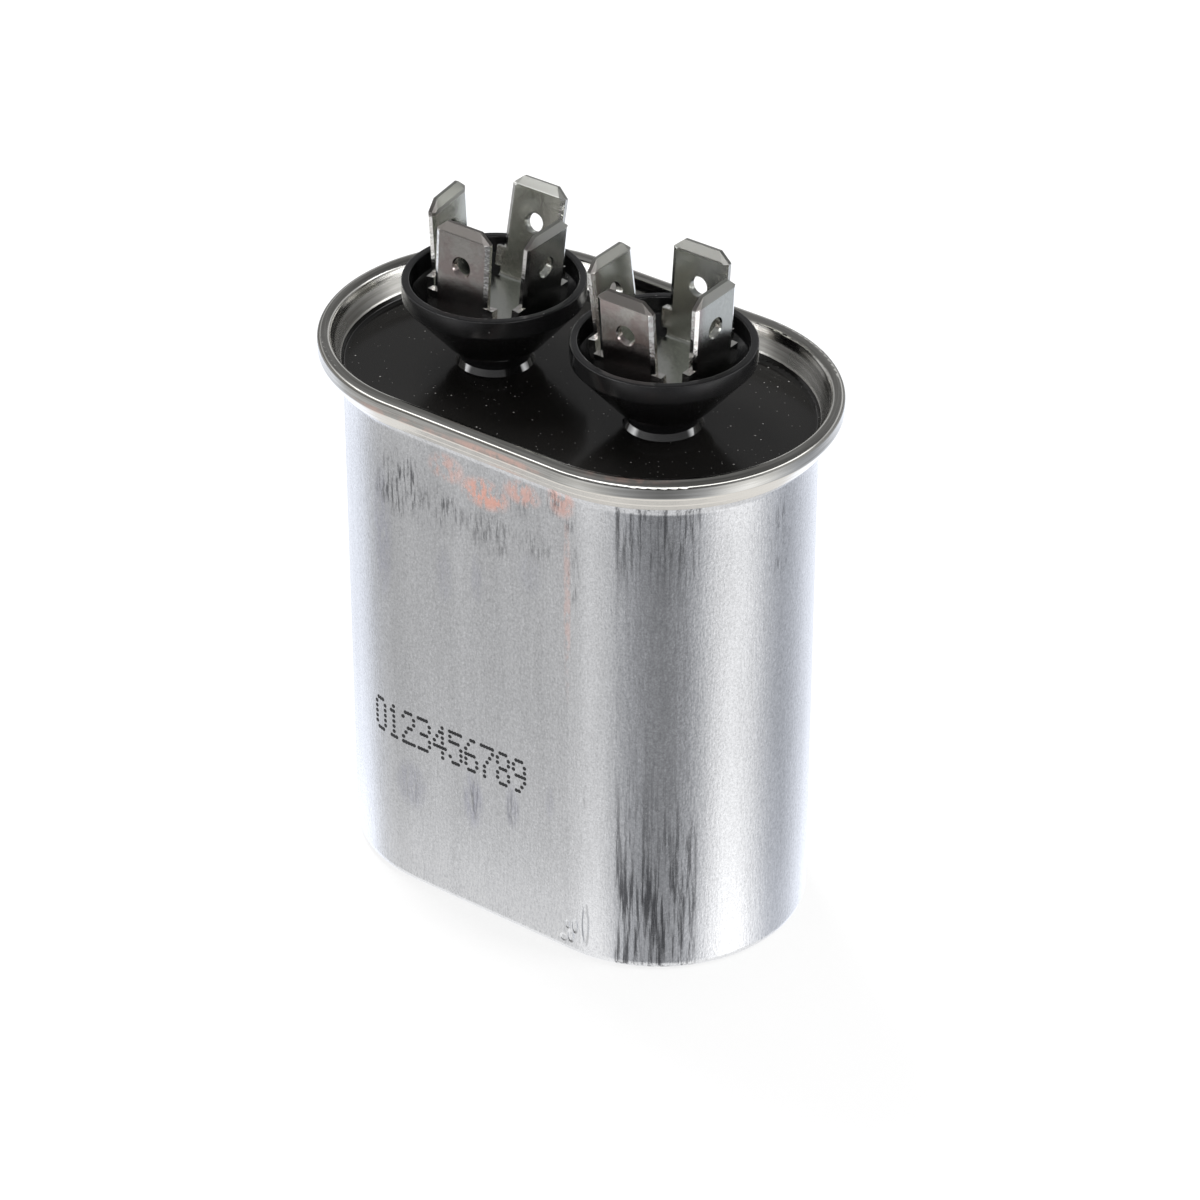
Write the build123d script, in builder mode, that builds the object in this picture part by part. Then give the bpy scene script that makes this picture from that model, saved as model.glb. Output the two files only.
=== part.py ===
import os
from math import cos, hypot, radians, sin, tan

from build123d import *

os.makedirs("parts", exist_ok=True)

# Motor run capacitor in an oval can, millimetres.
# The origin is the bottom centre of the can, +Z is up, X is the long axis of the oval.

# Can and seam
half_straight = 9.9
body_radius = 15.05
rim_top = 58.0
can_wall = 0.30
can_corner = 0.85
lid_wall = 0.25
panel_depth = 3.55
panel_corner = 0.55
wall_taper = 20.0
wall_foot_inset = 0.19
neck_bend = 1.0
crown_bend = 0.55
hook_bend = 0.28
fold_bend = 0.18
seam_gap = 0.03
flank_slack = 0.142
flank_height = 1.8
fold_lift = 0.05
fold_width = 0.48
hook_drop = 0.436
body_hook_length = 1.75
cover_hook_gap = 0.58
compound_inset = 0.32
compound_drop = 0.17
compound_width = 0.40
compound_thickness = 0.22

# Folded push-on tabs, heights measured up each tab from a datum above the plate
tab_width = 6.35
tab_thickness = 0.8
tab_bend = 0.8
tab_offset = 5.2
tab_datum_lift = 0.3
tab_tip = 10.85
tab_hole_height = 6.64
tab_hole_radius = 0.95
tab_corner_across = 1.14
tab_corner_along = 0.98
tab_bevel = 0.20
tab_bevel_top = 0.95
tab_bevel_side = 0.42
tab_hole_bevel = 0.14
ear_top = 3.24
ear_height = 2.0
ear_reach = 0.745
plate_corner = 0.6

# Cups, rivets and what they clamp
recess_gap = 0.717
lip_wall = 0.80
lip_band = 1.89
lip_edge = 0.18
lip_round = 0.25
recess_depth = 3.75
cone_height = 5.14
bowl_reach = 1.05
bowl_round = 1.1
neck_height = 1.37
neck_shoulder = 0.6
neck_round = 0.3
cup_gap = 2.29
spigot_radius = 2.9
spigot_depth = 0.6
hole_clearance = 0.1
gasket_reach = 1.0
gasket_thickness = 0.6
rivet_radius = 1.5
rivet_clearance = 0.05
rivet_head_radius = 2.6
rivet_head_height = 0.8
clinch_radius = 2.3
clinch_height = 0.6
washer_radius = 6.0
washer_thickness = 1.5
washer_relief = 0.05
lug_thickness = 0.5
lug_radius = 3.2
lug_tail_length = 6.1
lug_tail_width = 3.0

# Parts inside the can
pad_thickness = 1.0
pad_rim_height = 3.6
pad_rim_wall = 0.25
pad_gap = 0.10
spray_thickness = 0.6
spray_inset = 0.3
wrap_clearance = 0.2
wrap_wall = 0.45
wrap_gap = 0.05
wrap_lip = 1.4
cover_thickness = 0.8
head_space = 5.8
lead_radius = 0.5
sleeve_gap = 0.03
sleeve_wall = 0.32
sleeve_stand = 1.1
core_end_gap = 0.125
core_side_gap = 0.05

# Outward lean and twist of each tab in degrees and its rise, in the order right, rear, left, front
tab_pose = {
    "left": ((6.6, 0, 0), (13.4, 0, 0), (2.5, 8, 0.3), (-4.4, 0, 0)),
    "right": ((2.7, 0, 0), (5.4, 0, 0), (7.5, 0, 0), (4.8, 0, 0)),
}
tab_turn = (0, 90, 180, 270)
lug_turn = {"left": 90, "right": 180}

# Heights up the stack of the lid, from the rim down
panel_top = rim_top - panel_depth
panel_under = panel_top - lid_wall
spigot_foot = panel_under - spigot_depth
lug_top = panel_under - washer_thickness
lug_under = lug_top - lug_thickness

# Heights up the terminals, from the panel
gasket_top = panel_top + gasket_thickness
bowl_height = gasket_top + neck_height
lip_foot = bowl_height + cone_height
lip_top = lip_foot + lip_band
plate_floor = lip_top - recess_depth
plate_top = plate_floor + tab_thickness
tab_datum = plate_floor + tab_datum_lift
head_foot = plate_floor - rivet_head_height

# Radii of the terminals: the recess clears the ears of the tab that leans out most
steepest = radians(max(pose[0] for poses in tab_pose.values() for pose in poses))
ear_half = tab_width / 2 + ear_reach
ear_outside = tab_offset + tab_thickness / 2 + ear_top * sin(steepest)
recess_radius = hypot(ear_outside, ear_half) + recess_gap
lip_radius = recess_radius + lip_wall
terminal_spacing = 2 * lip_radius + cup_gap
neck_radius = spigot_radius + neck_shoulder
bowl_radius = neck_radius + bowl_reach
gasket_radius = neck_radius + gasket_reach
gasket_edge = gasket_thickness * 0.43
bore_radius = rivet_radius + rivet_clearance
head_pocket = rivet_head_radius + rivet_clearance
plate_half = tab_offset - tab_bend

# The roll and its insulation fill the can up to the head space under the rivets
pad_top = can_wall + pad_thickness
winding_foot = pad_top + spray_thickness
cover_foot = lug_under - clinch_height - head_space - cover_thickness
wrap_height = cover_foot - pad_top
winding_top = cover_foot - wrap_lip - spray_thickness
winding_length = winding_top - winding_foot
pad_radius = body_radius - can_wall - pad_gap
wrap_radius = pad_radius - pad_rim_wall - wrap_clearance
wrap_bore = wrap_radius - wrap_wall
winding_radius = wrap_bore - wrap_gap
sleeve_bore = lead_radius + sleeve_gap
sleeve_radius = sleeve_bore + sleeve_wall
sleeve_length = cover_foot + cover_thickness + sleeve_stand - winding_foot
lead_slot = terminal_spacing / 2 - lug_tail_length
core_length = 2 * (lead_slot + sleeve_radius + core_end_gap)
core_width = 2 * (sleeve_radius + core_side_gap)

# Layer positions across the double seam
lid_layer = lid_wall / 2
neck_layer = lid_wall + can_wall / 2
cover_layer = neck_layer + can_wall / 2 + seam_gap + lid_wall / 2
body_layer = cover_layer + lid_wall / 2 + seam_gap + can_wall / 2
wall_foot_radius = body_radius - wall_foot_inset
wall_foot_height = panel_under


# A point in the seam: d across the layers from the inside face of the lid wall, s up along it
def seam(d, s):
    lean = radians(wall_taper)
    radius = wall_foot_radius + d * cos(lean) + s * sin(lean)
    height = wall_foot_height - d * sin(lean) + s * cos(lean)
    return (radius, height)


# The point on a seam layer at a given height, or at a given radius
def seam_at_height(d, height):
    lean = radians(wall_taper)
    return seam(d, (height - wall_foot_height + d * sin(lean)) / cos(lean))


def seam_at_radius(d, radius):
    lean = radians(wall_taper)
    return seam(d, (radius - wall_foot_radius - d * cos(lean)) / sin(lean))


# The two half-section planes of the oval, each with the turning axis of its end
def oval_ends():
    right = Plane((half_straight, 0, 0), x_dir=(0, -1, 0), z_dir=(-1, 0, 0))
    left = Plane((-half_straight, 0, 0), x_dir=(0, 1, 0), z_dir=(1, 0, 0))
    return (right, left)


# Carry the section drawn on one end plane round that end and along one straight side
def carry_section(section, plane):
    revolve(axis=Axis(plane.origin, (0, 0, 1)), revolution_arc=180)
    extrude(section, amount=2 * half_straight, dir=plane.z_dir)


# A flat oval of the given end radius
def oval(radius):
    SlotCenterToCenter(2 * half_straight, 2 * radius)


# A vertical plane through a terminal axis, local x outward and local y up
def axis_plane(x, angle=0.0):
    turn = radians(angle)
    return Plane((x, 0, 0), x_dir=(cos(turn), sin(turn), 0), z_dir=(sin(turn), -cos(turn), 0))


# The seam's crown, outer wall and fold follow from its layers
lean = radians(wall_taper)
hook_crown = (rim_top - hook_drop - wall_foot_height) / cos(lean)
hook_outside = seam(body_layer + can_wall / 2, hook_crown - hook_bend)[0]
rim_radius = hook_outside + flank_slack + lid_wall
fold_height = panel_top + fold_lift
fold_radius = seam_at_height(cover_layer, fold_height)[0] + fold_width
flank_top = fold_height + flank_height

# Can: drawn shell with its neck and body hook
can_mid = body_radius - can_wall / 2
can_path = [
    (0, can_wall / 2),
    (can_mid, can_wall / 2),
    seam_at_radius(neck_layer, can_mid),
    seam(neck_layer, hook_crown),
    seam(body_layer, hook_crown),
    seam(body_layer, hook_crown - body_hook_length),
]
with BuildPart() as can:
    for end in oval_ends():
        with BuildSketch(end) as can_section:
            with BuildLine():
                FilletPolyline(*can_path, radius=[can_corner, neck_bend, hook_bend, hook_bend])
            trace(line_width=can_wall)
        carry_section(can_section.sketch, end)
can.part.label = "can"
export_step(can.part, "parts/can.step")

# Lid: sunk panel, wall, crown, tapered flank and cover hook
lid_path = [
    (0, panel_top - lid_wall / 2),
    seam_at_height(lid_layer, panel_top - lid_wall / 2),
    seam_at_height(lid_layer, rim_top - lid_wall / 2),
    (rim_radius - lid_wall / 2, rim_top - lid_wall / 2),
    (rim_radius - lid_wall / 2, flank_top),
    (fold_radius, fold_height),
    seam_at_height(cover_layer, fold_height),
    seam(cover_layer, hook_crown - cover_hook_gap),
]
lid_bends = [panel_corner, crown_bend, crown_bend, crown_bend, fold_bend, fold_bend]
with BuildPart() as lid:
    for end in oval_ends():
        with BuildSketch(end) as lid_section:
            with BuildLine():
                FilletPolyline(*lid_path, radius=lid_bends)
            trace(line_width=lid_wall)
        carry_section(lid_section.sketch, end)
    with BuildSketch(Plane.XY.offset(panel_under)):
        with GridLocations(terminal_spacing, 0, 2, 1):
            Circle(spigot_radius + hole_clearance)
    extrude(amount=lid_wall, mode=Mode.SUBTRACT)
lid.part.label = "lid"
export_step(lid.part, "parts/lid.step")

# Sealing ring between the crown of the body hook and the crown of the lid
compound_centre = (rim_radius - lid_wall - compound_inset, rim_top - lid_wall - compound_drop)
with BuildPart() as seam_compound:
    for end in oval_ends():
        with BuildSketch(end) as compound_section:
            with Locations(compound_centre):
                Ellipse(compound_width / 2, compound_thickness / 2)
        carry_section(compound_section.sketch, end)
seam_compound.part.label = "seam_compound"
export_step(seam_compound.part, "parts/seam_compound.step")

for side, name in ((-1, "left"), (1, "right")):
    centre = side * terminal_spacing / 2
    post = Axis((centre, 0, 0), (0, 0, 1))

    # Cup: spigot, neck, bowl, cone and lip round a recess for the plate and the rivet head
    cone_slope = (lip_radius - bowl_radius) / cone_height
    floor_radius = recess_radius - (lip_foot - plate_floor) * cone_slope
    cup_path = [
        (bore_radius, spigot_foot),
        (spigot_radius, spigot_foot),
        (spigot_radius, gasket_top),
        (neck_radius, gasket_top),
        (neck_radius, bowl_height),
        (bowl_radius, bowl_height),
        (lip_radius, lip_foot),
        (lip_radius, lip_top),
        (recess_radius, lip_top),
        (recess_radius, lip_foot),
        (floor_radius, plate_floor),
        (head_pocket, plate_floor),
        (head_pocket, head_foot),
        (bore_radius, head_foot),
    ]
    cup_rounds = [0, 0, 0, 0, neck_round, bowl_round, lip_round]
    cup_rounds += [lip_edge, lip_edge, lip_round, neck_round, 0, 0, 0]
    with BuildPart() as cup:
        with BuildSketch(axis_plane(centre)):
            with BuildLine():
                FilletPolyline(*cup_path, radius=cup_rounds, close=True)
            make_face()
        revolve(axis=post)
    cup.part.label = f"terminal_cup_{name}"
    export_step(cup.part, f"parts/terminal_cup_{name}.step")

    # Gasket: rubber ring between the neck and the panel
    with BuildPart() as gasket:
        with BuildSketch(Plane((centre, 0, panel_top))):
            Circle(gasket_radius)
            Circle(spigot_radius + hole_clearance, mode=Mode.SUBTRACT)
        extrude(amount=gasket_thickness)
        rim_edges = gasket.edges().filter_by(GeomType.CIRCLE).filter_by(lambda e: e.radius > neck_radius)
        fillet(rim_edges, gasket_edge)
    gasket.part.label = f"cup_gasket_{name}"
    export_step(gasket.part, f"parts/cup_gasket_{name}.step")

    # Blade terminal: plate with four tabs folded up from it, bevelled all round above the ears
    half = tab_width / 2
    tip_half = half - tab_corner_across
    shoulder = tab_tip - tab_corner_along
    ear_foot = ear_top - ear_height
    corner = hypot(tab_corner_across, tab_corner_along)
    face_half = half - tab_bevel_side
    face_tip = tab_tip - tab_bevel_top
    face_shoulder = shoulder - tab_bevel_side * (corner - tab_corner_along) / tab_corner_across
    face_rise = (face_tip - shoulder) * tab_corner_across / tab_corner_along
    face_tip_half = half - tab_bevel_side * corner / tab_corner_along - face_rise
    edge_outline = [(half, ear_foot), (half, shoulder), (tip_half, tab_tip)]
    edge_outline += [(-x, y) for x, y in reversed(edge_outline)]
    face_outline = [(face_half, ear_foot), (face_half, face_shoulder), (face_tip_half, face_tip)]
    face_outline += [(-x, y) for x, y in reversed(face_outline)]
    with BuildPart() as blade:
        with BuildSketch(Plane((centre, 0, plate_floor))) as plate:
            Rectangle(2 * plate_half, 2 * plate_half)
            chamfer(plate.vertices(), plate_corner)
        extrude(amount=tab_thickness)
        for turn, (lean, twist, rise) in zip(tab_turn, tab_pose[name]):
            out = radians(turn)
            way = radians(turn + twist)
            tilt = radians(lean)
            foot_x = centre + tab_offset * cos(out)
            foot_y = tab_offset * sin(out)
            datum = tab_datum + rise
            mid = plate_floor + tab_thickness / 2
            heel = ((mid - datum) * tan(tilt), mid)
            toe = (ear_top / 2 * sin(tilt), datum + ear_top / 2 * cos(tilt))
            fold = Plane((foot_x, foot_y, 0), x_dir=(cos(way), sin(way), 0), z_dir=(sin(way), -cos(way), 0))
            with BuildSketch(fold):
                with BuildLine():
                    FilletPolyline((-tab_offset, mid), heel, toe, radius=tab_bend)
                trace(line_width=tab_thickness)
            extrude(amount=half, both=True)
            face = Plane(
                (foot_x, foot_y, datum),
                x_dir=(-sin(way), cos(way), 0),
                z_dir=(cos(tilt) * cos(way), cos(tilt) * sin(way), -sin(tilt)),
            )
            with BuildSketch(face):
                with Locations((0, ear_top - ear_height / 2)):
                    Rectangle(2 * ear_half, ear_height)
            extrude(amount=tab_thickness / 2, both=True)
            with BuildSketch(face):
                Polygon(*edge_outline, align=None)
            extrude(amount=tab_thickness / 2 - tab_bevel, both=True)
            for outward in (-1, 1):
                with BuildSketch(face.offset(outward * (tab_thickness / 2 - tab_bevel))):
                    Polygon(*edge_outline, align=None)
                with BuildSketch(face.offset(outward * tab_thickness / 2)):
                    Polygon(*face_outline, align=None)
                loft(ruled=True)
            with BuildSketch(face):
                with Locations((0, tab_hole_height)):
                    Circle(tab_hole_radius)
            extrude(amount=tab_thickness, both=True, mode=Mode.SUBTRACT)
            hole = face.from_local_coords(Vector(0, tab_hole_height, 0))
            rounds = blade.edges().filter_by(GeomType.CIRCLE)
            hole_edges = rounds.filter_by(lambda e: (e.arc_center - hole).length < tab_thickness)
            chamfer(hole_edges, tab_hole_bevel)
    blade.part.label = f"blade_terminal_{name}"
    export_step(blade.part, f"parts/blade_terminal_{name}.step")

    # Rivet: flat head in the cup floor with the plate welded on it, shank through, clinch under the lug
    rivet_path = [
        (0, plate_floor),
        (rivet_head_radius, plate_floor),
        (rivet_head_radius, head_foot),
        (rivet_radius, head_foot),
        (rivet_radius, lug_under),
        (clinch_radius, lug_under),
        (clinch_radius * 0.8, lug_under - clinch_height),
        (0, lug_under - clinch_height),
    ]
    with BuildPart() as rivet:
        with BuildSketch(axis_plane(centre)):
            with BuildLine():
                Polyline(*rivet_path, close=True)
            make_face()
        revolve(axis=post)
    rivet.part.label = f"rivet_{name}"
    export_step(rivet.part, f"parts/rivet_{name}.step")

    # Inner washer: insulates the lug from the lid, with a pocket for the spigot
    with BuildPart() as washer:
        with BuildSketch(Plane((centre, 0, lug_top))):
            Circle(washer_radius)
            Circle(bore_radius, mode=Mode.SUBTRACT)
        extrude(amount=washer_thickness)
        with BuildSketch(Plane((centre, 0, spigot_foot - washer_relief))):
            Circle(spigot_radius + hole_clearance)
        extrude(amount=spigot_depth + washer_relief, mode=Mode.SUBTRACT)
    washer.part.label = f"inner_washer_{name}"
    export_step(washer.part, f"parts/inner_washer_{name}.step")

    # Solder lug: eyelet with a tail that takes the lead
    turn = radians(lug_turn[name])
    with BuildPart() as lug:
        with BuildSketch(Plane((centre, 0, lug_under), x_dir=(cos(turn), sin(turn), 0), z_dir=(0, 0, 1))):
            Circle(lug_radius)
            SlotCenterPoint((lug_tail_length / 2, 0), (lug_tail_length, 0), lug_tail_width)
            Circle(bore_radius, mode=Mode.SUBTRACT)
        extrude(amount=lug_thickness)
    lug.part.label = f"solder_lug_{name}"
    export_step(lug.part, f"parts/solder_lug_{name}.step")

# Bottom insulator: pad with a low rim
with BuildPart() as bottom_insulator:
    with BuildSketch(Plane.XY.offset(can_wall)):
        oval(pad_radius)
    extrude(amount=pad_thickness)
    fillet(bottom_insulator.faces().sort_by(Axis.Z)[0].edges(), can_corner - can_wall / 2)
    with BuildSketch(Plane.XY.offset(pad_top)):
        oval(pad_radius)
        SlotCenterToCenter(2 * half_straight, 2 * (pad_radius - pad_rim_wall), mode=Mode.SUBTRACT)
    extrude(amount=pad_rim_height)
bottom_insulator.part.label = "bottom_insulator"
export_step(bottom_insulator.part, "parts/bottom_insulator.step")

# Lower end spray, whole across the core
with BuildPart() as end_spray_bottom:
    with BuildSketch(Plane.XY.offset(pad_top)):
        oval(winding_radius - spray_inset)
    extrude(amount=spray_thickness)
end_spray_bottom.part.label = "end_spray_bottom"
export_step(end_spray_bottom.part, "parts/end_spray_bottom.step")

# Film roll with its flattened core
with BuildPart() as film_winding:
    with BuildSketch(Plane.XY.offset(winding_foot)):
        oval(winding_radius)
        SlotOverall(core_length, core_width, mode=Mode.SUBTRACT)
    extrude(amount=winding_length)
film_winding.part.label = "film_winding"
export_step(film_winding.part, "parts/film_winding.step")

# Upper end spray, open over the core
with BuildPart() as end_spray_top:
    with BuildSketch(Plane.XY.offset(winding_top)):
        oval(winding_radius - spray_inset)
        SlotOverall(core_length, core_width, mode=Mode.SUBTRACT)
    extrude(amount=spray_thickness)
end_spray_top.part.label = "end_spray_top"
export_step(end_spray_top.part, "parts/end_spray_top.step")

# Insulating wrap round the roll
with BuildPart() as winding_wrap:
    with BuildSketch(Plane.XY.offset(pad_top)):
        oval(wrap_radius)
        SlotCenterToCenter(2 * half_straight, 2 * wrap_bore, mode=Mode.SUBTRACT)
    extrude(amount=wrap_height)
winding_wrap.part.label = "winding_wrap"
export_step(winding_wrap.part, "parts/winding_wrap.step")

# Where the two leads run
left_lead = (-terminal_spacing / 2, lug_tail_length)
right_lead = (lead_slot, 0)

# Top insulator: disc on the wrap with a hole for each lead
with BuildPart() as top_insulator:
    with BuildSketch(Plane.XY.offset(cover_foot)):
        oval(wrap_radius)
        with Locations(left_lead, right_lead):
            Circle(sleeve_radius + core_side_gap, mode=Mode.SUBTRACT)
    extrude(amount=cover_thickness)
top_insulator.part.label = "top_insulator"
export_step(top_insulator.part, "parts/top_insulator.step")

# Lead from the upper spray to the left lug
with BuildPart() as lead_left:
    with BuildSketch(Plane.XY.offset(winding_top + spray_thickness)):
        with Locations(left_lead):
            Circle(lead_radius)
    extrude(amount=lug_under - winding_top - spray_thickness)
lead_left.part.label = "lead_left"
export_step(lead_left.part, "parts/lead_left.step")

# Lead from the lower spray through the core to the right lug
with BuildPart() as lead_right:
    with BuildSketch(Plane.XY.offset(winding_foot)):
        with Locations(right_lead):
            Circle(lead_radius)
    extrude(amount=lug_under - winding_foot)
lead_right.part.label = "lead_right"
export_step(lead_right.part, "parts/lead_right.step")

# Sleeve on the lead in the core
with BuildPart() as lead_sleeve:
    with BuildSketch(Plane.XY.offset(winding_foot)):
        with Locations(right_lead):
            Circle(sleeve_radius)
            Circle(sleeve_bore, mode=Mode.SUBTRACT)
    extrude(amount=sleeve_length)
lead_sleeve.part.label = "lead_sleeve"
export_step(lead_sleeve.part, "parts/lead_sleeve.step")
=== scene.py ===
import math
import bpy
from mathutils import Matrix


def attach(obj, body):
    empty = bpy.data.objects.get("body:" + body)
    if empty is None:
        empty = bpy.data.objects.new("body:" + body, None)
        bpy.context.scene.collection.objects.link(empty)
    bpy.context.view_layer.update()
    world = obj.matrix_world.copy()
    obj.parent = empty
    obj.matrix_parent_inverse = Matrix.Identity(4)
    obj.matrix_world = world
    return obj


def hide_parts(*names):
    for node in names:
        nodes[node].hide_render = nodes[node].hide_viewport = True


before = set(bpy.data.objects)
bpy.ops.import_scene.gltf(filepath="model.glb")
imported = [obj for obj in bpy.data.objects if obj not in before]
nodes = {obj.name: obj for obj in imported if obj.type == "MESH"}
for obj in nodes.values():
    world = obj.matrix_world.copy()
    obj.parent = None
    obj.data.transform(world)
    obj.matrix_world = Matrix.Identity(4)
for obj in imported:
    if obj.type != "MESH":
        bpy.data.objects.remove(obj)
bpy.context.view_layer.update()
print("frame loaded:", len(nodes), "nodes")

scene = bpy.context.scene
scene.view_settings.view_transform = "Standard"
mm = 0.001  # sizes below are in millimetres unless a comment says otherwise

# plan of the can's wall: flat sides between two half circles
oval = {"endCentre": 9.9, "wallRadius": 15.05}


# a socket that takes part in sums: an expression on it adds Math nodes
class Wire:
    def __init__(self, paint, socket):
        self.paint = paint
        self.socket = socket

    # another output of the same node
    def twin(self, key):
        return Wire(self.paint, self.socket.node.outputs[key])

    def math(self, operation, other=0.0, flip=False):
        first, second = (other, self) if flip else (self, other)
        return self.paint.node("ShaderNodeMath", {"operation": operation}, {0: first, 1: second})

    def __add__(self, other):
        return self.math("ADD", other)

    def __radd__(self, other):
        return self.math("ADD", other, True)

    def __sub__(self, other):
        return self.math("SUBTRACT", other)

    def __rsub__(self, other):
        return self.math("SUBTRACT", other, True)

    def __mul__(self, other):
        return self.math("MULTIPLY", other)

    def __truediv__(self, other):
        return self.math("DIVIDE", other)

    def __pow__(self, other):
        return self.math("POWER", other)

    # how far a noise lies from its middle value
    def swing(self):
        return self - 0.5


# one material or world and the nodes in it
class Paint:
    def __init__(self, owner):
        owner.use_nodes = True
        self.owner = owner
        self.tree = owner.node_tree
        self.tree.nodes.clear()

    # any node: settings first, then the values or links of its sockets
    def node(self, kind, settings=None, sockets=None, output=0):
        made = self.tree.nodes.new(kind)
        for name, value in (settings or {}).items():
            if name == "stops":
                self.setStops(made.color_ramp, value)
            else:
                setattr(made, name, value)
        for key, value in (sockets or {}).items():
            if isinstance(value, Wire):
                self.tree.links.new(value.socket, made.inputs[key])
            else:
                made.inputs[key].default_value = value
        return Wire(self, made.outputs[output]) if made.outputs else made

    def setStops(self, ramp, stops):
        while len(ramp.elements) < len(stops):
            ramp.elements.new(1.0)
        for element, (place, colour) in zip(ramp.elements, stops):
            element.position = place
            element.color = colour

    # place on the piece in its own units, as one wire
    def spot(self):
        return self.node("ShaderNodeTexCoord", output="Object")

    # place on the piece in millimetres, as three wires
    def place(self):
        sockets = {"Vector": self.spot(), "Scale": 1 / mm}
        scaled = self.node("ShaderNodeVectorMath", {"operation": "SCALE"}, sockets)
        split = self.node("ShaderNodeSeparateXYZ", {}, {"Vector": scaled})
        return [split.twin(axis) for axis in "XYZ"]

    def joined(self, x, y, z):
        return self.node("ShaderNodeCombineXYZ", {}, {"X": x, "Y": y, "Z": z})

    def noise(self, spot, scale, detail, rough):
        sockets = {"Vector": spot, "Scale": scale, "Detail": detail, "Roughness": rough}
        return self.node("ShaderNodeTexNoise", {}, sockets)

    # least below low, 1 above high, smooth between; low above high turns it round
    def step(self, value, low, high, least=0.0):
        sockets = {"Value": value, "From Min": low, "From Max": high, "To Min": least, "To Max": 1.0}
        return self.node("ShaderNodeMapRange", {"interpolation_type": "SMOOTHSTEP"}, sockets)

    # 1 from full to fade, 0 before start and after end
    def band(self, value, start, full, fade, end):
        return self.step(value, start, full) * self.step(value, end, fade)

    # a base level and what each step (low, high, gain) adds to it
    def stacked(self, value, base, steps):
        level = base
        for low, high, gain in steps:
            level = level + self.step(value, low, high) * gain
        return level

    # a Mix node has its colours in sockets 6 and 7 and the mixed colour in output 2
    def blend(self, factor, under, over, way="MIX"):
        settings = {"data_type": "RGBA", "blend_type": way}
        return self.node("ShaderNodeMix", settings, {0: factor, 6: under, 7: over}, 2)

    # oval spots (across, up, half width, half height, level) on two wires, the strongest wins
    def spots(self, across, up, places, core=0.15):
        field = None
        for u, v, halfU, halfV, level in places:
            away = ((across - u) / halfU) ** 2 + ((up - v) / halfV) ** 2
            mark = self.step(away, 1.0, core) * level
            field = mark if field is None else field.math("MAXIMUM", mark)
        return field

    # scattered dust: a dot in some of the cells of a pattern
    def dust(self, spot, scale, size, share, core=0.4):
        cells = self.node("ShaderNodeTexVoronoi", {}, {"Vector": spot, "Scale": scale})
        pick = cells.twin("Color").math("GREATER_THAN", 1 - share)
        return self.step(cells, size, size * core) * pick

    # place on the oval: arc length from the middle of the front, and distance from the middle line
    def around(self, x, y):
        sockets = {"Value": x, "Min": -oval["endCentre"], "Max": oval["endCentre"]}
        middle = self.node("ShaderNodeClamp", {}, sockets)
        turn = (x - middle).math("ARCTAN2", y * -1)
        reach = ((x - middle) ** 2 + y ** 2) ** 0.5
        return middle + turn * oval["wallRadius"], reach

    # distance in metres
    def bump(self, height, strength, distance):
        return self.node("ShaderNodeBump", {}, {"Height": height, "Strength": strength, "Distance": distance})

    def surface(self, sockets):
        shader = self.node("ShaderNodeBsdfPrincipled", {}, sockets)
        self.node("ShaderNodeOutputMaterial", {}, {"Surface": shader})
        return self.owner


def newPaint(name):
    return Paint(bpy.data.materials.new(name))


def dress(material, *names):
    for name in names:
        piece = nodes[name]
        piece.data.materials.clear()
        piece.data.materials.append(material)


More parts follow.
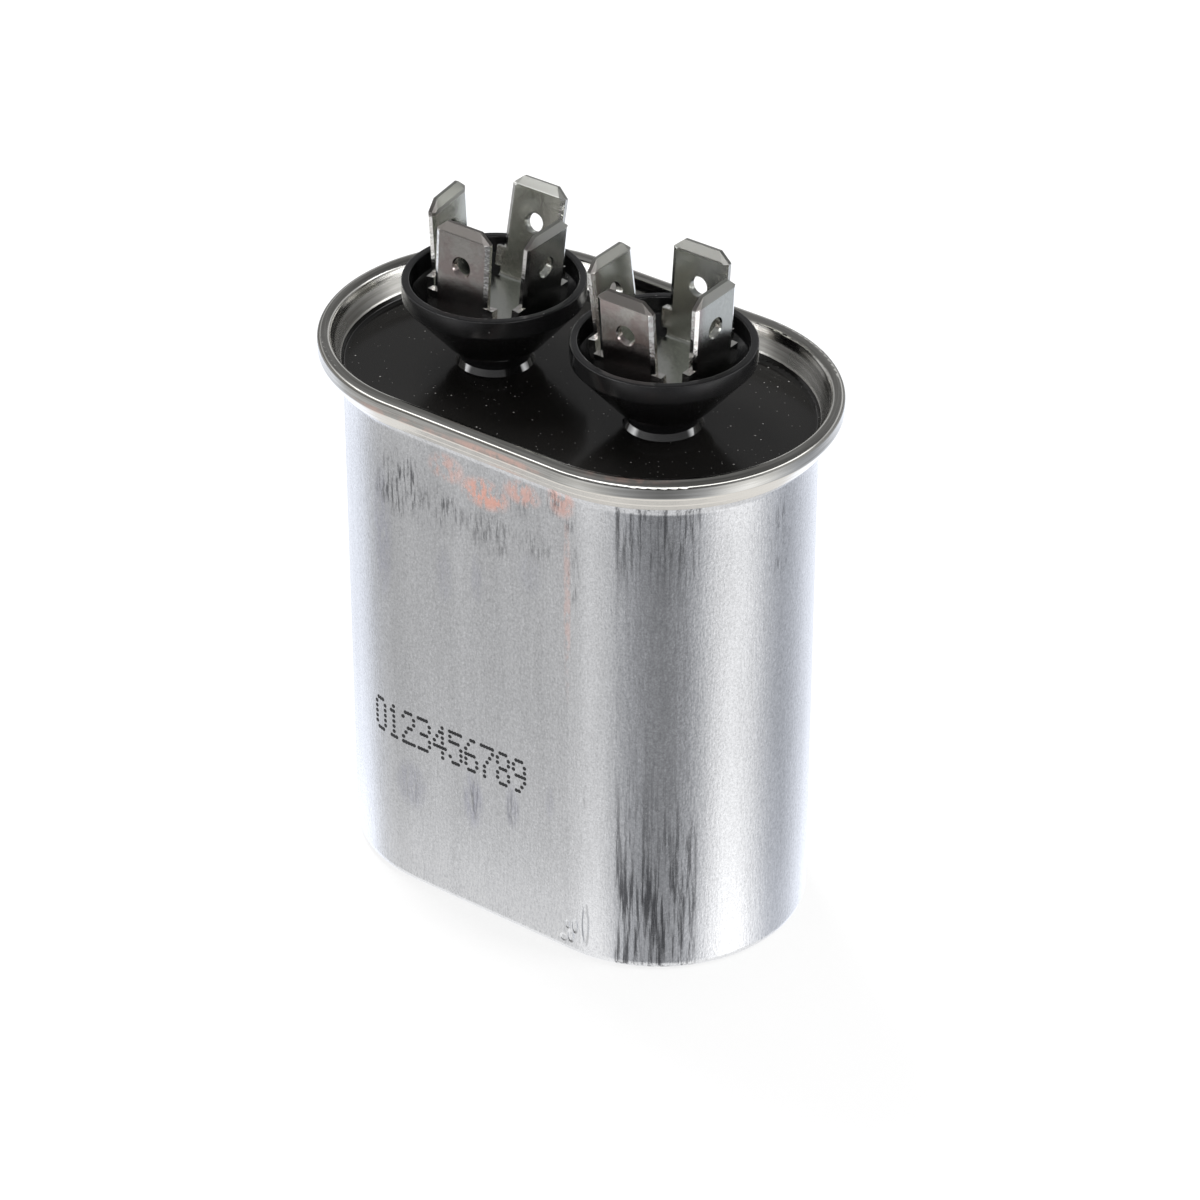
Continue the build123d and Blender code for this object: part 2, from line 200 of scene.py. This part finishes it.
# drawn aluminium: satin, streaked up the wall, with dark rubbing marks, faint orange smudges and small dents;
# painted light makes the foot and the top under the seam lighter, and a painted dark reflection lies in a
# band on the rounded end
canLook = {
    "colour": (0.95, 0.953, 0.965, 1),
    "haze": (0.78, 0.78, 0.85, 1),
    "smudge": (0.80, 0.34, 0.235, 1),
    "smudgeCover": 0.75,
    "smudgeMatt": 0.65,
    # dark colour shared by the rubbing marks and the painted dark reflection band
    "rubAndReflection": (0.07, 0.07, 0.078, 1),
    "rubAndReflectionCover": 0.86,
    "roughness": 0.21,
    "roughSwing": 0.14,
    "rubRough": 0.10,
    "footSmooth": 0.03,
    "footZone": (30.0, 3.0),
    "grainHeight": 0.16,
    "mottleHeight": 0.22,
    "bumpDepth": 0.0001,
    # noises: squeeze up the wall, scale, detail, roughness
    "noises": {
        "grain": (0.15, 4.2, 3.0, 0.6), "broad": (0.06, 0.55, 3.0, 0.5), "mottle": (0.75, 4.0, 3.0, 0.6),
        "fleck": (0.8, 8.0, 2.0, 0.5), "rubGrain": (0.11, 3.6, 3.0, 0.6), "bandGrain": (0.06, 2.3, 4.0, 0.65),
        "blotch": (0.45, 1.5, 4.0, 0.65), "patch": (0.35, 0.55, 3.0, 0.6),
    },
    # how noises are cut into marks: low, high, and the least that is left
    "hazeCut": (0.30, 0.60),
    "rubCut": (0.46, 0.62),
    "patchCut": (0.42, 0.58, 0.22),
    "bandCut": (0.44, 0.62, 0.10),
    "smudgeCut": (0.36, 0.56),
    # tone of the metal: base, painted light steps up the wall that lighten the foot, sole and head, swing of
    # each noise
    "shade": 0.71,
    "paintedLightSteps": [(30.0, 3.0, 0.15), (13.0, 0.5, 0.13), (48.5, 53.2, 0.06)],
    "shadeSwings": {"grain": 0.20, "broad": 0.18, "mottle": 0.54, "fleck": 0.40},
    # dark band on the rounded end, rubbing streaks with a painted dark reflection: place along the wall, and
    # level by height
    "rubAndReflectionReach": (14.9, 15.2, 22.9, 23.3),
    "bandLevel": 0.12,
    "bandSteps": [(28.0, 8.0, 0.88), (42.0, 52.0, 0.75)],
    # marks: place along the wall from the middle of the front, height, half width, half height, level
    "rubMarks": [
        (-9.6, 47.2, 5.2, 4.6, 0.85), (-4.2, 45.9, 2.4, 3.0, 0.80), (0.9, 45.6, 4.2, 2.8, 0.60),
        (4.6, 50.6, 3.2, 2.4, 0.60), (8.1, 52.2, 1.6, 2.0, 0.70), (10.6, 45.0, 0.8, 4.0, 0.95),
        (32.2, 47.5, 1.6, 5.5, 0.80), (6.4, 46.5, 2.6, 2.2, 0.45), (10.2, 51.0, 1.0, 2.0, 0.60),
        (-1.7, 13.8, 0.9, 3.0, 0.50), (-3.3, 12.8, 0.6, 2.4, 0.55), (-9.6, 12.4, 2.0, 2.6, 0.45),
        (3.0, 14.6, 1.0, 2.6, 0.45), (7.7, 17.6, 0.5, 2.2, 0.40),
    ],
    "smudges": [
        (-4.4, 51.2, 2.6, 1.9, 0.60), (0.2, 50.0, 3.4, 2.0, 1.0), (4.6, 51.7, 2.6, 1.6, 0.75),
        (9.2, 52.6, 1.9, 2.2, 0.70), (9.9, 42.0, 0.5, 13.0, 0.35),
    ],
    "hazeMarks": [
        (-1.9, 13.6, 1.5, 4.2, 0.9), (-9.8, 12.2, 2.4, 3.4, 0.7), (3.0, 14.8, 1.1, 3.2, 0.6),
        (7.7, 17.4, 0.7, 2.4, 0.5), (-12.8, 41.0, 1.6, 9.0, 0.7), (-5.0, 39.0, 1.2, 4.0, 0.4),
        (-1.0, 40.0, 0.8, 3.5, 0.5), (5.5, 43.0, 1.6, 3.0, 0.3),
    ],
    "dents": [
        (10.2, 2.2, 0.45, 0.9, 0.90), (10.7, 3.6, 0.40, 1.0, 0.80), (9.8, 3.5, 0.30, 0.6, 0.60),
        (11.9, 4.2, 0.45, 2.8, 0.90), (9.3, 1.7, 0.50, 0.5, 0.50), (11.6, 18.9, 0.35, 0.7, 0.16),
    ],
}
paint = newPaint("drawnAluminium")
x, y, z = paint.place()
along = paint.around(x, y)[0]
noises = {}
for name, (squeeze, *settings) in canLook["noises"].items():
    noises[name] = paint.noise(paint.joined(x, y, z * squeeze), *settings)
grain = noises["grain"]
mottle = noises["mottle"]
marked = paint.spots(along, z, canLook["rubMarks"]) * paint.step(noises["rubGrain"], *canLook["rubCut"])
marked = marked * paint.step(noises["patch"], *canLook["patchCut"])
# painted reflection: a dark band on the rounded end, streaked like rubbing
rubAndReflectionBand = paint.band(along, *canLook["rubAndReflectionReach"])
rubAndReflectionBand = rubAndReflectionBand * paint.stacked(z, canLook["bandLevel"], canLook["bandSteps"])
rubAndReflectionBand = rubAndReflectionBand * paint.step(noises["bandGrain"], *canLook["bandCut"])
rubbedAndReflected = marked.math("MAXIMUM", rubAndReflectionBand)
smudged = paint.spots(along, z, canLook["smudges"]) * paint.step(noises["blotch"], *canLook["smudgeCut"])
hazed = paint.spots(along, z, canLook["hazeMarks"]) * paint.step(grain, *canLook["hazeCut"])
dented = paint.spots(along, z, canLook["dents"])
# painted light: the tone steps lighter toward the foot and under the seam
canToneAndPaintedLight = paint.stacked(z, canLook["shade"], canLook["paintedLightSteps"])
for name, amount in canLook["shadeSwings"].items():
    canToneAndPaintedLight = canToneAndPaintedLight + noises[name].swing() * amount
canColour = paint.blend(1.0, canLook["colour"], paint.joined(canToneAndPaintedLight, canToneAndPaintedLight, canToneAndPaintedLight), "MULTIPLY")
canColour = paint.blend(hazed, canColour, canLook["haze"], "MULTIPLY")
canColour = paint.blend(smudged * canLook["smudgeCover"], canColour, canLook["smudge"])
canColour = paint.blend(rubbedAndReflected * canLook["rubAndReflectionCover"], canColour, canLook["rubAndReflection"])
canRough = canLook["roughness"] + (grain.swing() + mottle.swing()) * canLook["roughSwing"]
canRough = canRough + rubbedAndReflected * canLook["rubRough"]
canRough = canRough - paint.step(z, *canLook["footZone"]) * canLook["footSmooth"]
canHeight = grain * canLook["grainHeight"] + mottle * canLook["mottleHeight"] - dented
aluminium = paint.surface({
    "Base Color": canColour,
    "Metallic": 1.0 - smudged * canLook["smudgeMatt"],
    "Roughness": canRough,
    "Normal": paint.bump(canHeight, 1.0, canLook["bumpDepth"]),
})
dress(aluminium, "can")

# lid: bare tinplate seam and wall, black lacquer on the sunk panel; painted reflections tint the seam's flank
# and front, and painted highlights line the wall
lidLook = {
    "tin": (0.66, 0.65, 0.62, 1),
    "dullTin": (0.47, 0.46, 0.43, 1),
    "floorReflectionCream": (0.88, 0.84, 0.77, 1),
    "floorReflectionCover": 0.85,
    "warmReflectionColour": (0.90, 0.64, 0.56, 1),
    "paintedHighlight": (0.95, 0.93, 0.88, 1),
    "lacquer": (0.010, 0.0095, 0.009, 1),
    "dust": (0.55, 0.54, 0.52, 1),
    # heights
    "bareAbove": (55.06, 55.18),
    "lacquerEdgeHighlight": (55.10, 55.16, 55.27, 55.35),
    "ledge": (55.10, 55.30),
    "ledgeDrop": -0.018,
    "wallTopHighlight": (57.02, 57.12, 57.34, 57.44),
    "flankBelow": (56.35, 56.22),
    # distances from the oval's middle line
    "seamFrom": (15.72, 15.82),
    "edgeWithin": (15.7, 15.6),
    "wallWithin": (16.16, 16.08),
    # the front, and the right end where the wall is more of a mirror
    "front": (-5.0, -9.0),
    "rightEnd": (13.0, 19.0),
    "rightShine": 0.8,
    "wallMetal": 0.70,
    # noises: scale, detail, roughness
    "wander": (0.9, 2.0, 0.5),
    "wanderHeight": 0.12,
    "streak": (1.0, 4.0, 0.65),
    "streakAcross": 2.6,
    "streakAlong": 0.10,
    "streakCut": (0.36, 0.66),
    "streakHeight": 0.006,
    "warmReflectionNoise": (0.5, 4.0, 0.65),
    "warmReflectionCut": (0.36, 0.60),
    "warmReflectionMarks": [
        (3.2, 56.60, 6.5, 0.55, 1.0), (-7.0, 56.50, 8.0, 0.50, 0.6), (16.5, 58.0, 5.0, 0.30, 0.6),
    ],
    # dust: scale, size and share of the dots
    "specks": (0.9, 0.10, 0.52),
    "fineSpecks": (2.0, 0.13, 0.46),
    "fineShift": (3.7, 1.3),
    "fineLevel": 0.6,
    "dustLevel": 0.6,
    "roughness": 0.13,
    "dustRough": 0.4,
    "streakRough": 0.10,
    "tinSmooth": 0.01,
    "wallRough": 0.12,
    "bumpDepth": 0.001,
}
paint = newPaint("tinplateLid")
x, y, z = paint.place()
along, reach = paint.around(x, y)
spot = paint.joined(x, y, z)
wander = paint.noise(spot, *lidLook["wander"])
outside = paint.step(reach, *lidLook["seamFrom"])
bare = paint.step(z + wander.swing() * lidLook["wanderHeight"], *lidLook["bareAbove"])
bare = bare.math("MAXIMUM", outside)
across = lidLook["streakAcross"]
streakSpot = paint.joined(reach * across, z * across, along * lidLook["streakAlong"])
streak = paint.noise(streakSpot, *lidLook["streak"])
warmReflectionNoise = paint.noise(spot, *lidLook["warmReflectionNoise"])
tinTone = paint.blend(paint.step(streak, *lidLook["streakCut"]), lidLook["dullTin"], lidLook["tin"])
# painted reflection: the seam's lower flank is tinted cream where it mirrors the floor
flankFloorReflection = paint.step(z, *lidLook["flankBelow"]) * outside
tinTone = paint.blend(flankFloorReflection * lidLook["floorReflectionCover"], tinTone, lidLook["floorReflectionCream"])
# painted highlights: pale lines along the lacquer edge and along the top of the inner wall
lacquerEdgeHighlight = paint.band(z, *lidLook["lacquerEdgeHighlight"]) * paint.step(reach, *lidLook["edgeWithin"])
tinTone = paint.blend(lacquerEdgeHighlight, tinTone, lidLook["paintedHighlight"])
wallTopHighlight = paint.band(z, *lidLook["wallTopHighlight"]) * paint.step(reach, *lidLook["wallWithin"])
tinTone = paint.blend(wallTopHighlight, tinTone, lidLook["paintedHighlight"])
# painted reflection: warm brown and tan patches on the front of the seam where it mirrors the orange smudges
warmReflection = paint.spots(along, z, lidLook["warmReflectionMarks"]) * paint.step(y, *lidLook["front"])
warmReflection = warmReflection * paint.step(warmReflectionNoise, *lidLook["warmReflectionCut"])
tinTone = paint.blend(warmReflection, tinTone, lidLook["warmReflectionColour"])
shiftX, shiftY = lidLook["fineShift"]
specks = paint.dust(paint.joined(x, y, 0.0), *lidLook["specks"])
fineSpecks = paint.dust(paint.joined(x + shiftX, y + shiftY, 0.0), *lidLook["fineSpecks"])
dusty = specks.math("MAXIMUM", fineSpecks * lidLook["fineLevel"]) * (1 - bare) * lidLook["dustLevel"]
panelTone = paint.blend(dusty, lidLook["lacquer"], lidLook["dust"])
shine = outside.math("MAXIMUM", paint.step(x, *lidLook["rightEnd"]) * lidLook["rightShine"])
lidRough = lidLook["roughness"] + dusty * lidLook["dustRough"]
lidRough = lidRough + bare * (streak.swing() * lidLook["streakRough"] - lidLook["tinSmooth"])
lidRough = lidRough + bare * (1 - outside) * lidLook["wallRough"]
ledgeFoot, ledgeTop = lidLook["ledge"]
ledge = paint.node("ShaderNodeMapRange", {}, {
    "Value": z, "From Min": ledgeFoot, "From Max": ledgeTop, "To Min": 0.0, "To Max": lidLook["ledgeDrop"],
})
lidHeight = ledge + streak.swing() * outside * lidLook["streakHeight"]
tinplate = paint.surface({
    "Base Color": paint.blend(bare, panelTone, tinTone),
    "Metallic": bare * (lidLook["wallMetal"] + shine * (1 - lidLook["wallMetal"])),
    "Roughness": lidRough,
    "Normal": paint.bump(lidHeight, 1.0, lidLook["bumpDepth"]),
})
dress(tinplate, "lid")

# black moulded cups with a little dust
cupLook = {
    "colour": (0.010, 0.010, 0.0105, 1),
    "dust": (0.30, 0.30, 0.30, 1),
    "specks": (1.1, 0.09, 0.30),
    "dustLevel": 0.5,
    "dustRough": 0.4,
    "haze": (1.3, 4.0, 0.6),
    "hazeSqueeze": 0.5,
    "hazeRough": 0.14,
    "roughness": 0.16,
}
paint = newPaint("blackMoulding")
x, y, z = paint.place()
specks = paint.dust(paint.joined(x, y, z), *cupLook["specks"]) * cupLook["dustLevel"]
haze = paint.noise(paint.joined(x, y, z * cupLook["hazeSqueeze"]), *cupLook["haze"])
cupRough = cupLook["roughness"] + haze.swing() * cupLook["hazeRough"] + specks * cupLook["dustRough"]
blackMoulding = paint.surface({
    "Base Color": paint.blend(specks, cupLook["colour"], cupLook["dust"]),
    "Roughness": cupRough,
})
dress(blackMoulding, "terminal_cup_left", "terminal_cup_right")

# rubber rings squeezed out under the necks of the cups: a cone with a hole for the spigot
ringLook = {
    "colour": (0.012, 0.012, 0.012, 1),
    "roughness": 0.07,
    "gloss": 2.5,
    "off": 10.125,
    "foot": 54.45,
    "height": 0.60,
    "footRadius": 3.91,
    "topRadius": 3.55,
    "hole": 2.95,
    "cutterHeight": 1.80,
    "facets": 96,
    "smoothAngle": 30,
}
paint = newPaint("blackRubber")
blackRubber = paint.surface({
    "Base Color": ringLook["colour"],
    "Roughness": ringLook["roughness"],
    "IOR": ringLook["gloss"],
})
for side, name in ((-1, "left"), (1, "right")):
    middle = (side * ringLook["off"] * mm, 0, (ringLook["foot"] + ringLook["height"] / 2) * mm)
    bpy.ops.object.select_all(action="DESELECT")
    bpy.ops.mesh.primitive_cylinder_add(
        vertices=ringLook["facets"], radius=ringLook["hole"] * mm, depth=ringLook["cutterHeight"] * mm,
        location=middle,
    )
    cutter = bpy.context.object
    bpy.ops.mesh.primitive_cone_add(
        vertices=ringLook["facets"], radius1=ringLook["footRadius"] * mm, radius2=ringLook["topRadius"] * mm,
        depth=ringLook["height"] * mm, location=middle,
    )
    ring = bpy.context.object
    ring.name = "squeezedRing" + name.capitalize()
    hole = ring.modifiers.new("hole", "BOOLEAN")
    hole.operation = "DIFFERENCE"
    hole.object = cutter
    bpy.ops.object.modifier_apply(modifier="hole")
    bpy.data.objects.remove(cutter)
    bpy.ops.object.transform_apply(location=True, rotation=True, scale=True)
    bpy.ops.object.shade_smooth_by_angle(angle=math.radians(ringLook["smoothAngle"]))
    ring.data.materials.clear()
    ring.data.materials.append(blackRubber)
    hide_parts("cup_gasket_" + name)
    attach(ring, "root")

# tinned tabs: dull and grainy, a little pink at the front, near white at the cut edges, partly as bare metal
# and partly as a painted glint, with painted shade that darkens the bevels
tabLook = {
    "pale": (0.77, 0.785, 0.735, 1),
    "dull": (0.66, 0.67, 0.63, 1),
    "pink": (0.56, 0.48, 0.46, 1),
    "bevel": (0.48, 0.48, 0.45, 1),
    "frontBevel": (0.30, 0.28, 0.265, 1),
    "cutGlint": (0.97, 0.96, 0.93, 1),
    "terminal": 10.125,
    "cutFrom": (2.705, 2.805),
    "aboveFold": (61.2, 61.6),
    "bevelFrom": (69.65, 69.85),
    "frontSide": (-1.5, -3.0),
    # noises: scale, detail, roughness
    "grit": (3.4, 4.0, 0.7),
    "gritCut": (0.25, 0.75),
    "cloud": (0.35, 3.0, 0.6),
    "cloudCut": (0.40, 0.62, 0.45),
    "ragged": (1.7, 3.0, 0.7),
    "raggedCut": (0.40, 0.60, 0.6),
    "roughness": 0.20,
    "gritRough": 0.14,
    "bevelRough": 0.20,
    "cutSmooth": 0.12,
    "gritHeight": 0.14,
    "raggedHeight": 0.35,
    "bumpStrength": 0.5,
    "bumpDepth": 0.0001,
}
paint = newPaint("tinnedTab")
x, y, z = paint.place()
spot = paint.joined(x, y, z)
grit = paint.noise(spot, *tabLook["grit"])
cloud = paint.noise(spot, *tabLook["cloud"])
ragged = paint.noise(spot, *tabLook["ragged"])
frontSide = paint.step(y, *tabLook["frontSide"])
bevel = paint.step(z, *tabLook["bevelFrom"])
offX = (x.math("ABSOLUTE") - tabLook["terminal"]).math("ABSOLUTE")
offY = y.math("ABSOLUTE")
# painted glint: cut edges are near white, partly bare metal and partly a painted highlight
cutEdgeAndGlint = paint.step(offX.math("MINIMUM", offY), *tabLook["cutFrom"])
cutEdgeAndGlint = cutEdgeAndGlint * paint.step(z, *tabLook["aboveFold"]) * (1 - bevel)
cutEdgeAndGlint = cutEdgeAndGlint * paint.step(ragged, *tabLook["raggedCut"])
tabTone = paint.blend(paint.step(grit, *tabLook["gritCut"]), tabLook["dull"], tabLook["pale"])
pinkish = paint.step(cloud, *tabLook["cloudCut"]) * frontSide
tabTone = paint.blend(pinkish, tabTone, tabLook["pink"])
# painted shade: the bevels are darker, the front ones most
bevelPaintedShade = paint.blend(frontSide, tabLook["bevel"], tabLook["frontBevel"])
tabTone = paint.blend(bevel, tabTone, bevelPaintedShade)
tabTone = paint.blend(cutEdgeAndGlint, tabTone, tabLook["cutGlint"])
tabRough = tabLook["roughness"] + grit.swing() * tabLook["gritRough"]
tabRough = tabRough + bevel * tabLook["bevelRough"] - cutEdgeAndGlint * tabLook["cutSmooth"]
tabHeight = grit * tabLook["gritHeight"] + cutEdgeAndGlint * ragged * tabLook["raggedHeight"]
tinned = paint.surface({
    "Base Color": tabTone,
    "Metallic": 1.0,
    "Roughness": tabRough,
    "Normal": paint.bump(tabHeight, tabLook["bumpStrength"], tabLook["bumpDepth"]),
})
dress(tinned, "blade_terminal_left", "blade_terminal_right", "rivet_left", "rivet_right")


# plain finishes of the pieces inside the can and the seam
def plainFinish(name, colour, metallic, roughness, *pieces):
    made = newPaint(name)
    material = made.surface({"Base Color": colour, "Metallic": metallic, "Roughness": roughness})
    dress(material, *pieces)


plainFinish("brownFibre", (0.22, 0.13, 0.07, 1), 0.0, 0.7, "inner_washer_left", "inner_washer_right")
plainFinish("tinnedCopper", (0.62, 0.58, 0.50, 1), 1.0, 0.35, "solder_lug_left", "solder_lug_right",
            "lead_left", "lead_right")
plainFinish("sealingCompound", (0.03, 0.03, 0.03, 1), 0.0, 0.6, "seam_compound")
plainFinish("woundFilm", (0.55, 0.55, 0.53, 1), 0.0, 0.3, "film_winding")
plainFinish("sprayedZinc", (0.45, 0.45, 0.45, 1), 1.0, 0.6, "end_spray_top", "end_spray_bottom")
plainFinish("paleInsulation", (0.78, 0.74, 0.62, 1), 0.0, 0.6, "winding_wrap", "lead_sleeve",
            "bottom_insulator", "top_insulator")
print("finishes set")

# dot print on the front: a plain row of counting digits, each five dots by seven
printLook = {
    "digits": "0123456789",
    "columns": 5,
    "rows": 7,
    "start": -14.6,
    "advance": 1.98,
    "across": 0.34,
    "up": 0.60,
    "foot": 17.1,
    "dotRadius": 0.22,
    "dotDepth": 0.03,
    "dotSides": 10,
    "ink": (0.016, 0.016, 0.018, 1),
    "roughness": 0.5,
}
# rows of each digit from the top, one bit for a dot
digitRows = {
    "0": (14, 17, 17, 17, 17, 17, 14), "1": (4, 12, 4, 4, 4, 4, 14), "2": (14, 17, 1, 6, 8, 16, 31),
    "3": (30, 1, 1, 14, 1, 1, 30), "4": (2, 6, 10, 18, 31, 2, 2), "5": (31, 16, 30, 1, 1, 17, 14),
    "6": (6, 8, 16, 30, 17, 17, 14), "7": (31, 1, 2, 4, 8, 8, 8), "8": (14, 17, 17, 14, 17, 17, 14),
    "9": (14, 17, 17, 15, 1, 2, 12),
}
bpy.ops.object.select_all(action="DESELECT")
dots = []
for place, digit in enumerate(printLook["digits"]):
    for row, bits in enumerate(digitRows[digit]):
        for column in range(printLook["columns"]):
            if not bits >> (printLook["columns"] - 1 - column) & 1:
                continue
            run = printLook["start"] + place * printLook["advance"] + column * printLook["across"]
            lift = printLook["foot"] + (printLook["rows"] - 1 - row) * printLook["up"]
            middle = max(run, -oval["endCentre"])
            turn = (run - middle) / oval["wallRadius"]
            centre = (
                (middle + oval["wallRadius"] * math.sin(turn)) * mm,
                -oval["wallRadius"] * math.cos(turn) * mm,
                lift * mm,
            )
            bpy.ops.mesh.primitive_cylinder_add(
                vertices=printLook["dotSides"], radius=printLook["dotRadius"] * mm,
                depth=printLook["dotDepth"] * mm, location=centre, rotation=(math.pi / 2, 0, turn),
            )
            dots.append(bpy.context.object)
bpy.ops.object.select_all(action="DESELECT")
for dot in dots:
    dot.select_set(True)
bpy.context.view_layer.objects.active = dots[0]
bpy.ops.object.join()
bpy.ops.object.transform_apply(location=True, rotation=True, scale=True)
dotPrint = bpy.context.object
dotPrint.name = "dotPrint"
paint = newPaint("printInk")
ink = paint.surface({"Base Color": printLook["ink"], "Roughness": printLook["roughness"]})
dotPrint.data.materials.clear()
dotPrint.data.materials.append(ink)
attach(dotPrint, "root")
print("print set:", len(dots), "dots")

# studio: pale floor, a room that only reflections see, two soft lamps; lengths here are in metres
studio = {
    "floorSize": 3.0,
    "floorColour": (0.93, 0.93, 0.93, 1),
    "floorRoughness": 0.9,
    "floorGlow": 0.78,
    "floorWhite": 1.02,
    "white": (1, 1, 1, 1),
    "roomRadius": 2.2,
    "worldFill": 0.75,
    "lampAim": 0.03,
}
bpy.ops.object.select_all(action="DESELECT")
bpy.ops.mesh.primitive_plane_add(size=studio["floorSize"], location=(0, 0, 0))
floor = bpy.context.object
floor.name = "floor"
paint = newPaint("paleFloor")
matt = paint.node("ShaderNodeBsdfPrincipled", {}, {
    "Base Color": studio["floorColour"], "Roughness": studio["floorRoughness"],
})
glow = paint.node("ShaderNodeEmission", {}, {"Color": studio["white"], "Strength": studio["floorWhite"]})
seen = paint.node("ShaderNodeLightPath", output="Is Camera Ray") * studio["floorGlow"]
mixed = paint.node("ShaderNodeMixShader", {}, {0: seen, 1: matt, 2: glow})
paint.node("ShaderNodeOutputMaterial", {}, {"Surface": mixed})
floor.data.materials.append(paint.owner)
floor.visible_glossy = False


def grey(level, tint):
    return tuple(level * part for part in tint) + (1,)


# rings of the room from below the floor to overhead: heading in degrees from +X, brightness and tint
cool = (0.965, 0.985, 1.03)
icy = (0.93, 0.97, 1.06)
even = (0.995, 1.0, 1.01)
warm = (1.05, 1.0, 0.92)
roomRings = {
    "below": [
        (-180, 1.15, icy), (-165, 0.69, cool), (-150, 0.61, even), (-135, 0.58, even), (-126, 0.61, even),
        (-107, 0.95, even), (-95, 0.77, even), (-81, 0.54, cool), (-66, 0.37, cool), (-53, 0.28, cool),
        (-40, 0.35, cool), (-25, 0.60, cool), (-10, 1.06, even), (4, 1.36, even), (15, 1.14, even),
        (28, 0.78, cool), (42, 0.54, icy), (52, 0.54, icy), (64, 0.67, icy), (82, 1.0, icy),
        (105, 1.25, icy), (180, 1.15, icy),
    ],
    "edge": [
        (-180, 0.40, even), (-150, 0.25, even), (-126, 0.22, even), (-112, 0.17, even), (-53, 0.07, even),
        (-10, 0.24, even), (20, 0.5, even), (50, 0.45, even), (90, 0.45, even), (180, 0.40, even),
    ],
    "level": [
        (-180, 0.22, warm), (-140, 0.30, warm), (-122, 0.32, warm), (-112, 0.18, even), (-98, 0.15, even),
        (-86, 0.11, even), (-60, 0.07, even), (-25, 0.14, even), (-12, 0.32, even), (12, 0.6, even),
        (28, 0.5, even), (70, 0.30, even), (105, 0.20, even), (150, 0.16, even), (180, 0.22, warm),
    ],
    "glare": [
        (-180, 0.6, even), (-158, 1.2, even), (-142, 3.0, even), (-92, 3.0, even), (-78, 2.9, even),
        (-30, 2.9, even), (-18, 3.0, even), (38, 2.6, even), (52, 0.7, even), (90, 0.8, even),
        (135, 0.8, even), (150, 0.5, even), (180, 0.6, even),
    ],
    "overhead": [
        (-180, 0.20, even), (-150, 0.27, even), (-110, 0.27, even), (-70, 0.17, even), (0, 0.13, even),
        (60, 0.13, even), (100, 0.20, even), (127, 0.23, even), (150, 0.20, even), (180, 0.20, even),
    ],
    "steep": [(-180, 0.85, even), (180, 0.85, even)],
}
# where each ring takes over from the edge ring and its neighbours: degrees above the horizon
ringStarts = {
    "level": (-9, -4), "glare": (5, 9), "overhead": (16, 22), "below": (-20, -25), "steep": (-44, -52),
}
bpy.ops.mesh.primitive_uv_sphere_add(segments=64, ring_count=32, radius=studio["roomRadius"])
room = bpy.context.object
room.name = "mirroredRoom"
bpy.ops.object.shade_smooth()
paint = newPaint("mirroredRoomLight")
spot = paint.spot()
height = paint.node("ShaderNodeSeparateXYZ", {}, {"Vector": spot}, "Z")
rise = (height / studio["roomRadius"]).math("ARCSINE") * math.degrees(1)
heading = paint.node("ShaderNodeTexGradient", {"gradient_type": "RADIAL"}, {"Vector": spot}, "Fac")
ringColour = {}
for name, ring in roomRings.items():
    stops = [((angle + 180) / 360, grey(level, tint)) for angle, level, tint in ring]
    ringColour[name] = paint.node("ShaderNodeValToRGB", {"stops": stops}, {"Fac": heading})
colour = ringColour["edge"]
for name, (low, high) in ringStarts.items():
    colour = paint.blend(paint.step(rise, low, high), colour, ringColour[name])
glow = paint.node("ShaderNodeEmission", {}, {"Color": colour, "Strength": 1.0})
paint.node("ShaderNodeOutputMaterial", {}, {"Surface": glow})
room.data.materials.append(paint.owner)
room.visible_camera = False
room.visible_diffuse = False
room.visible_transmission = False
room.visible_shadow = False
room.visible_volume_scatter = False

# camera fitted to the outline, rim and tabs of the photograph
view = {
    "azimuth": 36.653,
    "elevation": 32.986,
    "distance": 461.391,
    "aim": (1.629, 1.300, 30.109),
    "lens": 139.4,
    "clipStart": 10.0,
}
turn = math.radians(view["azimuth"])
tilt = math.radians(view["elevation"])
ahead = (-math.sin(turn) * math.cos(tilt), math.cos(turn) * math.cos(tilt), -math.sin(tilt))
stand = [(aim - view["distance"] * way) * mm for aim, way in zip(view["aim"], ahead)]
bpy.ops.object.camera_add(location=stand, rotation=(math.pi / 2 - tilt, 0, turn))
camera = bpy.context.object
camera.data.lens = view["lens"]
camera.data.clip_start = view["clipStart"] * mm
scene.camera = camera

# lamps: angle from the camera's heading and height in degrees, distance and size in metres
lamps = [
    {"name": "keyBox", "angle": -150, "height": 55, "distance": 0.9, "size": (0.35, 0.35), "watts": 7.0},
    {"name": "rightBox", "angle": 75, "height": 50, "distance": 0.9, "size": (0.25, 0.4), "watts": 3.0},
]
for lamp in lamps:
    turn = math.radians(view["azimuth"] + lamp["angle"])
    climb = math.radians(lamp["height"])
    away = lamp["distance"]
    bpy.ops.object.light_add(
        type="AREA",
        location=(
            away * math.sin(turn) * math.cos(climb),
            -away * math.cos(turn) * math.cos(climb),
            away * math.sin(climb) + studio["lampAim"],
        ),
        rotation=(math.pi / 2 - climb, 0, turn),
    )
    light = bpy.context.object
    light.name = lamp["name"]
    light.data.shape = "RECTANGLE"
    light.data.size, light.data.size_y = lamp["size"]
    light.data.energy = lamp["watts"]
    light.visible_glossy = False

# world: white to the camera, in reflections and through glass, a soft fill to everything else
world = bpy.data.worlds.new("studio")
scene.world = world
paint = Paint(world)
path = paint.node("ShaderNodeLightPath", output="Is Camera Ray")
seen = path.math("MAXIMUM", path.twin("Is Glossy Ray"))
seen = seen.math("MAXIMUM", path.twin("Is Transmission Ray"))
level = studio["worldFill"] + seen * (1 - studio["worldFill"])
sky = paint.node("ShaderNodeBackground", {}, {"Color": studio["white"], "Strength": level})
paint.node("ShaderNodeOutputWorld", {}, {"Surface": sky})
print("studio set")
